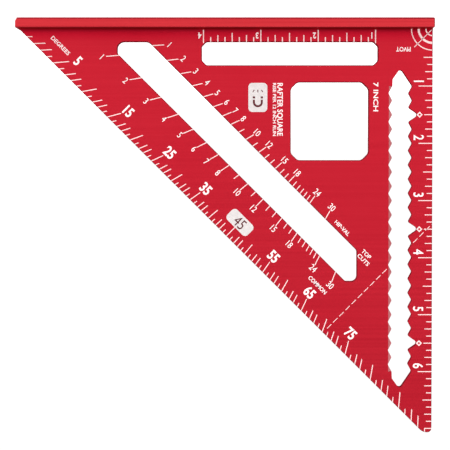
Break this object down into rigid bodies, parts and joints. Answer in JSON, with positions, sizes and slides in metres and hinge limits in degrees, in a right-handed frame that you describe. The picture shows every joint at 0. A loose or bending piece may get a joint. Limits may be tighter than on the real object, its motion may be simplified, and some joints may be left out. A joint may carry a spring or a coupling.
{
  "type": "speed square",
  "caption": "Triangular aluminium rafter square: thin slotted plate with inch and angle scales on a wide T-shaped fence with magnets set underneath.",
  "frame": {"origin": "middle of the underside of the fence, the face that the square stands on", "axes": "+Z from the fence up the plate, X along the fence with the pivot corner and inch ruler at -X, -Y out of the marked front face"},
  "size_m": [0.1842, 0.023, 0.184],
  "materials": {
    "body": "satin red anodised aluminium",
    "magnet": "nickel-plated, lightly scuffed",
    "bond": "set dark epoxy",
    "marking": "matt white scale marking",
    "marking_dark": "matt dark red marking on the white panels"
  },
  "bodies": {
    "root": {"square_body": "body", "magnet_1": "magnet", "magnet_2": "magnet", "magnet_3": "magnet", "magnet_4": "magnet", "magnet_bond_1": "bond", "magnet_bond_2": "bond", "magnet_bond_3": "bond", "magnet_bond_4": "bond"}
  },
  "joints": []
}
